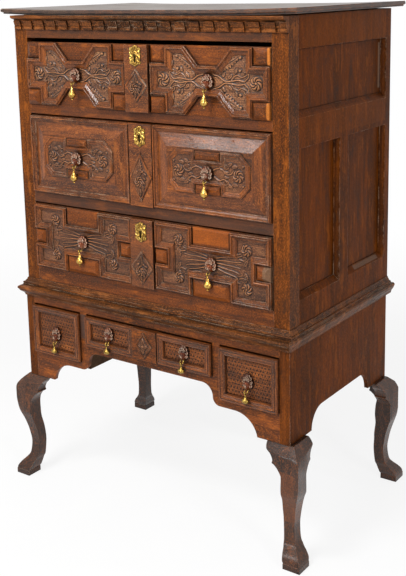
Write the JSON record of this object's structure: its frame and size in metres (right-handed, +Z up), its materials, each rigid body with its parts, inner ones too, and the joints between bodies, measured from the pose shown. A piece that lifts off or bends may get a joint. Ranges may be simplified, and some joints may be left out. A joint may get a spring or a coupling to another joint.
{
  "type": "chest of drawers on stand",
  "caption": "Panelled oak chest with mitred geometric drawer mouldings, carved masks and brass drops, on a stand with small drawers and square cabriole legs",
  "frame": {"origin": "on the floor, under the middle of the object", "axes": "+Z up, the drawer fronts face -Y, X runs along the front"},
  "size_m": [1.046, 0.651, 1.4759],
  "materials": {
    "oak_front": "polished, worn",
    "oak_moulding": "polished, worn edges",
    "oak_top": "polished, worn",
    "oak_side": "polished",
    "oak_leg": "dark polish",
    "oak_carved": "dark polish",
    "drawer_lining": "unfinished",
    "brass": "polished"
  },
  "bodies": {
    "carcase": {"top_board": "oak_top", "cornice": "oak_moulding", "dentil_course": "oak_moulding", "front_post_left": "oak_front", "front_post_right": "oak_front", "side_frame_left": "oak_side", "side_frame_right": "oak_side", "side_panels_left": "oak_side", "side_panels_right": "oak_side", "top_rail": "oak_front", "upper_drawer_frame": "oak_front", "lower_drawer_frame": "oak_front", "bottom_drawer_frame": "oak_front", "case_back": "drawer_lining", "base_moulding": "oak_moulding", "waist_frame": "oak_moulding", "stand_side_left": "oak_side", "stand_side_right": "oak_side", "frieze_rail": "oak_front", "front_apron": "oak_front", "stand_back": "drawer_lining", "leg_front_left": "oak_leg", "leg_front_right": "oak_leg", "leg_back_left": "oak_leg", "leg_back_right": "oak_leg"},
    "top_drawer": {"top_drawer_front": "oak_front", "top_drawer_mouldings": "oak_moulding", "top_drawer_box": "drawer_lining", "top_drawer_masks": "oak_carved", "top_drawer_lock": "brass"},
    "top_drop_left": {"top_drop_left": "brass"},
    "top_drop_right": {"top_drop_right": "brass"},
    "middle_drawer": {"middle_drawer_front": "oak_front", "middle_drawer_mouldings": "oak_moulding", "middle_drawer_box": "drawer_lining", "middle_drawer_masks": "oak_carved", "middle_drawer_lock": "brass"},
    "middle_drop_left": {"middle_drop_left": "brass"},
    "middle_drop_right": {"middle_drop_right": "brass"},
    "bottom_drawer": {"bottom_drawer_front": "oak_front", "bottom_drawer_mouldings": "oak_moulding", "bottom_drawer_box": "drawer_lining", "bottom_drawer_masks": "oak_carved", "bottom_drawer_lock": "brass"},
    "bottom_drop_left": {"bottom_drop_left": "brass"},
    "bottom_drop_right": {"bottom_drop_right": "brass"},
    "left_drawer": {"left_drawer_front": "oak_front", "left_drawer_box": "drawer_lining", "left_drawer_mask": "oak_carved"},
    "left_drop": {"left_drop": "brass"},
    "right_drawer": {"right_drawer_front": "oak_front", "right_drawer_box": "drawer_lining", "right_drawer_mask": "oak_carved"},
    "right_drop": {"right_drop": "brass"},
    "centre_drawer": {"centre_drawer_front": "oak_front", "centre_drawer_box": "drawer_lining", "centre_drawer_masks": "oak_carved"},
    "centre_drop_left": {"centre_drop_left": "brass"},
    "centre_drop_right": {"centre_drop_right": "brass"}
  },
  "joints": [
    {"name": "top_drawer_slide", "type": "slide", "parent": "carcase", "child": "top_drawer", "axis": [0, -1, 0], "range_m": [0, 0.38]},
    {"name": "top_drop_left_swing", "type": "hinge", "parent": "top_drawer", "child": "top_drop_left", "pos_m": [-0.22975, -0.3035, 1.26315], "axis": [-1, 0, 0], "range_deg": [0, 85]},
    {"name": "top_drop_right_swing", "type": "hinge", "parent": "top_drawer", "child": "top_drop_right", "pos_m": [0.22975, -0.3035, 1.26315], "axis": [-1, 0, 0], "range_deg": [0, 85]},
    {"name": "middle_drawer_slide", "type": "slide", "parent": "carcase", "child": "middle_drawer", "axis": [0, -1, 0], "range_m": [0, 0.38]},
    {"name": "middle_drop_left_swing", "type": "hinge", "parent": "middle_drawer", "child": "middle_drop_left", "pos_m": [-0.22975, -0.3115, 1.02265], "axis": [-1, 0, 0], "range_deg": [0, 85]},
    {"name": "middle_drop_right_swing", "type": "hinge", "parent": "middle_drawer", "child": "middle_drop_right", "pos_m": [0.22975, -0.3115, 1.02265], "axis": [-1, 0, 0], "range_deg": [0, 85]},
    {"name": "bottom_drawer_slide", "type": "slide", "parent": "carcase", "child": "bottom_drawer", "axis": [0, -1, 0], "range_m": [0, 0.38]},
    {"name": "bottom_drop_left_swing", "type": "hinge", "parent": "bottom_drawer", "child": "bottom_drop_left", "pos_m": [-0.22975, -0.3035, 0.77165], "axis": [-1, 0, 0], "range_deg": [0, 85]},
    {"name": "bottom_drop_right_swing", "type": "hinge", "parent": "bottom_drawer", "child": "bottom_drop_right", "pos_m": [0.22975, -0.3035, 0.77165], "axis": [-1, 0, 0], "range_deg": [0, 85]},
    {"name": "left_drawer_slide", "type": "slide", "parent": "carcase", "child": "left_drawer", "axis": [0, -1, 0], "range_m": [0, 0.33]},
    {"name": "left_drop_swing", "type": "hinge", "parent": "left_drawer", "child": "left_drop", "pos_m": [-0.348, -0.3075, 0.46235], "axis": [-1, 0, 0], "range_deg": [0, 85]},
    {"name": "right_drawer_slide", "type": "slide", "parent": "carcase", "child": "right_drawer", "axis": [0, -1, 0], "range_m": [0, 0.33]},
    {"name": "right_drop_swing", "type": "hinge", "parent": "right_drawer", "child": "right_drop", "pos_m": [0.348, -0.3075, 0.46235], "axis": [-1, 0, 0], "range_deg": [0, 85]},
    {"name": "centre_drawer_slide", "type": "slide", "parent": "carcase", "child": "centre_drawer", "axis": [0, -1, 0], "range_m": [0, 0.33]},
    {"name": "centre_drop_left_swing", "type": "hinge", "parent": "centre_drawer", "child": "centre_drop_left", "pos_m": [-0.13625, -0.3075, 0.50185], "axis": [-1, 0, 0], "range_deg": [0, 85]},
    {"name": "centre_drop_right_swing", "type": "hinge", "parent": "centre_drawer", "child": "centre_drop_right", "pos_m": [0.13625, -0.3075, 0.50185], "axis": [-1, 0, 0], "range_deg": [0, 85]}
  ]
}
